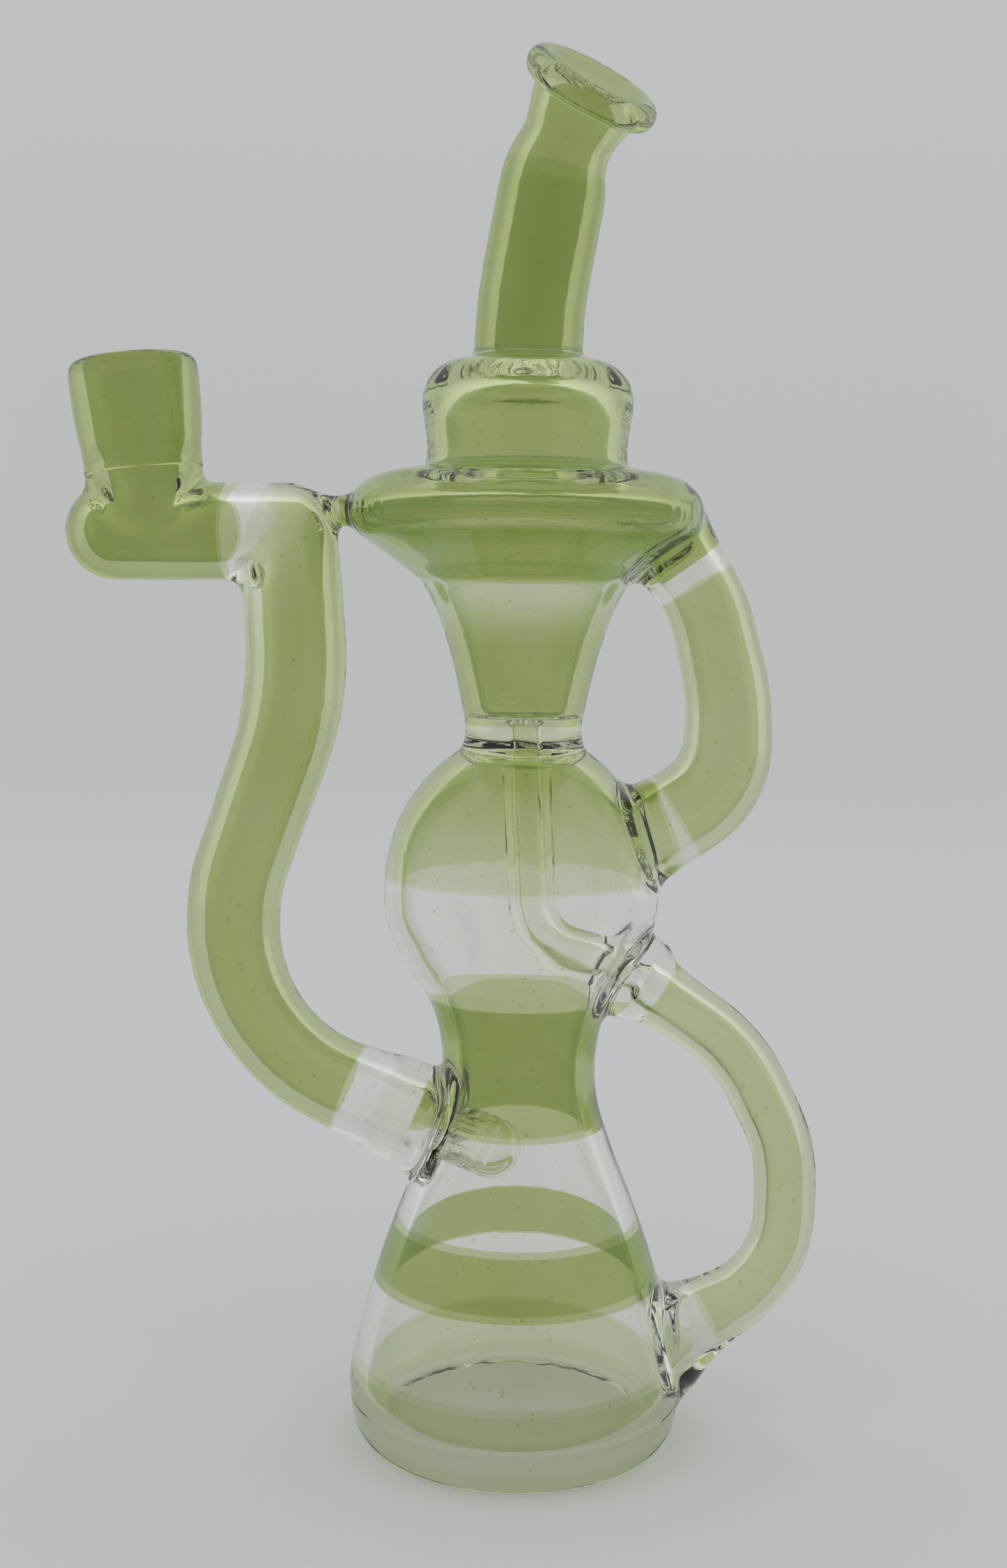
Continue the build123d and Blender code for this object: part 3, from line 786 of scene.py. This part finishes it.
drain_clear = pigment_glass("drain_clear_glass", 0.08)
taken("inner_drain_tube", (1.5, -3.4, 85), slot="clear_glass", glaze=drain_clear)


# ---------------------------------------------------------------------------------------------
# Base and waist: rings of clear and green glass stacked on a thick foot. The lowest green band is
# pale, the middle one and the waist are deep, with darker beads where the waist meets its welds.
# ---------------------------------------------------------------------------------------------
body_walls = [
    (min(v.co.z for v in face.verts) / MM, max(v.co.z for v in face.verts) / MM, face)
    for face in connected((0, -23, 1))
]


def sawn_level(height, margin=0.3):
    """Saws the body across at a height, where a face comes within a margin of it."""
    met = [face for low, high, face in body_walls if low - margin < height < high + margin and face.is_valid]
    sawn(met, (0, 0, height), (0, 0, 1))


for height in (3.7, 12.2, 24.3, 32.6, 47.4, 66.6):
    sawn_level(height)
foot_green = pigment_glass("foot_glass", 0.55, fading((0, 0, 1), 0.4, 1.6, 0.1, 1.0))
base_green = pigment_glass("base_green_glass", 0.38)
band_green = pigment_glass("band_green_glass", 1.05)
waist_green = pigment_glass(
    "waist_green_glass", 0.80, beads(4.2, 0.9, (-11.6, -1.5, 63.0), (10.6, -4.0, 61.0), (10.9, -4.0, 49.5)),
)
taken("foot_disc", (0, -23, 1), slot="clear_glass", glaze=foot_green)
taken("base_band", (0, -24.7, 8), (0, -21.8, 10), slot="green_glass", glaze=base_green)
taken("base_clear_section", (0, -22, 20), slot="clear_glass", glaze=clear)
taken("middle_band", (0, -19.6, 28), slot="green_glass", glaze=band_green)
taken("upper_clear_section", (0, -16, 38), slot="clear_glass", glaze=clear)
taken("waist_band", (0, -11.3, 56), slot="green_glass", glaze=waist_green)


# ---------------------------------------------------------------------------------------------
# Bulb and neck ring: the bulb is blown half of clear and half of green glass, whose colour gathers
# towards the top. A clear ring above it is thick enough to hold the funnel and the drain tube.
# ---------------------------------------------------------------------------------------------
for height in (84.0, 103.3, 106.5):
    sawn_level(height)
dome_green = pigment_glass("dome_green_glass", 0.42, fading((0, 0, 1), 84.0, 101.0, 0.72, 1.3), weld_beads)
ring_clear = pigment_glass("ring_glass", 0.30)
taken("bulb_clear_section", (0, -19.5, 77), slot="clear_glass", glaze=clear)
taken("bulb_dome", (0, -18, 92), slot="green_glass", glaze=dome_green)
taken("neck_ring", (0, -8.4, 105), slot="clear_glass", glaze=ring_clear)


# ---------------------------------------------------------------------------------------------
# Funnel, disc and collar: the funnel is green below and pales upwards, with two dark beads at its
# top. The disc is pressed flat and fat at its rim, and the collar stands on it.
# ---------------------------------------------------------------------------------------------
for height in (127.2, 133.0, 143.2):
    sawn_level(height)
funnel_green = pigment_glass(
    "funnel_green_glass", 0.62, fading((0, 0, 1), 117.0, 126.5, 1.0, 0.3),
    beads(2.2, 1.6, (-13.4, -2.5, 124.8), (13.6, -2.5, 124.8)),
)
disc_green = pigment_glass("disc_green_glass", 0.60)
rim_green = pigment_glass("disc_rim_green_glass", 0.80)
taken("drain_funnel", (0, -10, 114), slot="green_glass", glaze=funnel_green)
taken("disc_underside", (0, -19, 130), slot="green_glass", glaze=disc_green)
taken("disc_top", (0, -25.8, 137), slot="green_glass", glaze=rim_green)
taken("collar", (0, -15, 150), slot="green_glass", glaze=disc_green)
glass.free()


# ---------------------------------------------------------------------------------------------
# Diffuser: a clear thimble with saw cuts, on the inner end of the S tube, that breaks the air into
# bubbles. Its shape is the CAD one, merged and smoothed.
# ---------------------------------------------------------------------------------------------
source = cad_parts["slitted_diffuser"]
diffuser = source.copy()
diffuser.data = source.data.copy()
diffuser.name = "diffuser"
diffuser.parent = None
bpy.context.scene.collection.objects.link(diffuser)
bpy.ops.object.select_all(action="DESELECT")
diffuser.select_set(True)
bpy.context.view_layer.objects.active = diffuser
bpy.ops.object.mode_set(mode="EDIT")
bpy.ops.mesh.select_all(action="SELECT")
bpy.ops.mesh.remove_doubles(threshold=1e-6)
bpy.ops.object.mode_set(mode="OBJECT")
bpy.ops.object.shade_smooth_by_angle(angle=math.radians(35))
diffuser.data.materials.clear()
diffuser.data.materials.append(weld_clear)
for key in list(diffuser.keys()):
    del diffuser[key]
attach(diffuser, "root")
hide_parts("slitted_diffuser")


# ---------------------------------------------------------------------------------------------
# Floor and light: a sheet of pale paper that fades into the light, under a plain even light from all
# sides. It is a little brighter at both sides and overhead, which draws the edges of the glass.
# ---------------------------------------------------------------------------------------------
bpy.ops.mesh.primitive_circle_add(vertices=128, radius=1.6, fill_type="NGON", location=(0, 0, 0))
floor = bpy.context.object
floor.name = "floor"
bpy.ops.object.mode_set(mode="EDIT")
bpy.ops.mesh.select_all(action="SELECT")
for reach in (0.35, 0.35, 0.3):
    bpy.ops.mesh.inset(thickness=reach)
bpy.ops.object.mode_set(mode="OBJECT")
paint = Nodes(bpy.data.materials.new("floor_paint"))
paint_place = paint.make("ShaderNodeTexCoord", output="Object")
away = paint.make("ShaderNodeVectorMath", {"operation": "LENGTH"}, paint_place, output="Value")
shade = paint.make("ShaderNodeBsdfPrincipled", {}, Base_Color=(0.72, 0.715, 0.725, 1), Roughness=0.8)
open_air = paint.make("ShaderNodeBsdfTransparent", {})
fade = paint.make("ShaderNodeMapRange", {"interpolation_type": "SMOOTHSTEP"}, away, 0.30, 1.2, 0.0, 1.0)
blend = paint.make("ShaderNodeMixShader", {}, fade, shade, open_air)
paint.make("ShaderNodeOutputMaterial", {}, Surface=blend)
floor.data.materials.append(paint.owner)

room = bpy.data.worlds.new("room")
bpy.context.scene.world = room
sky = Nodes(room)
direction = sky.make("ShaderNodeTexCoord", output="Generated")
east = sky.make("ShaderNodeSeparateXYZ", {}, direction, output="X")
height = Wire(sky, east.socket.node.outputs["Z"])
sideways = sky.make(
    "ShaderNodeMapRange", {"interpolation_type": "SMOOTHSTEP"}, east.math("ABSOLUTE"), 0.22, 0.62, 0.0, 1.0,
)
overhead = height.math("MAXIMUM", 0.0)
glow = 0.51 + sideways * 0.12 + overhead * overhead * 0.35
light = sky.make("ShaderNodeBackground", {}, Color=(1.0, 0.99, 1.005, 1), Strength=glow)
sky.make("ShaderNodeOutputWorld", {}, Surface=light)

scene = bpy.context.scene
scene.view_settings.view_transform = "Standard"
scene.cycles.max_bounces = 40
scene.cycles.transmission_bounces = 40
scene.cycles.glossy_bounces = 12
scene.cycles.transparent_max_bounces = 64
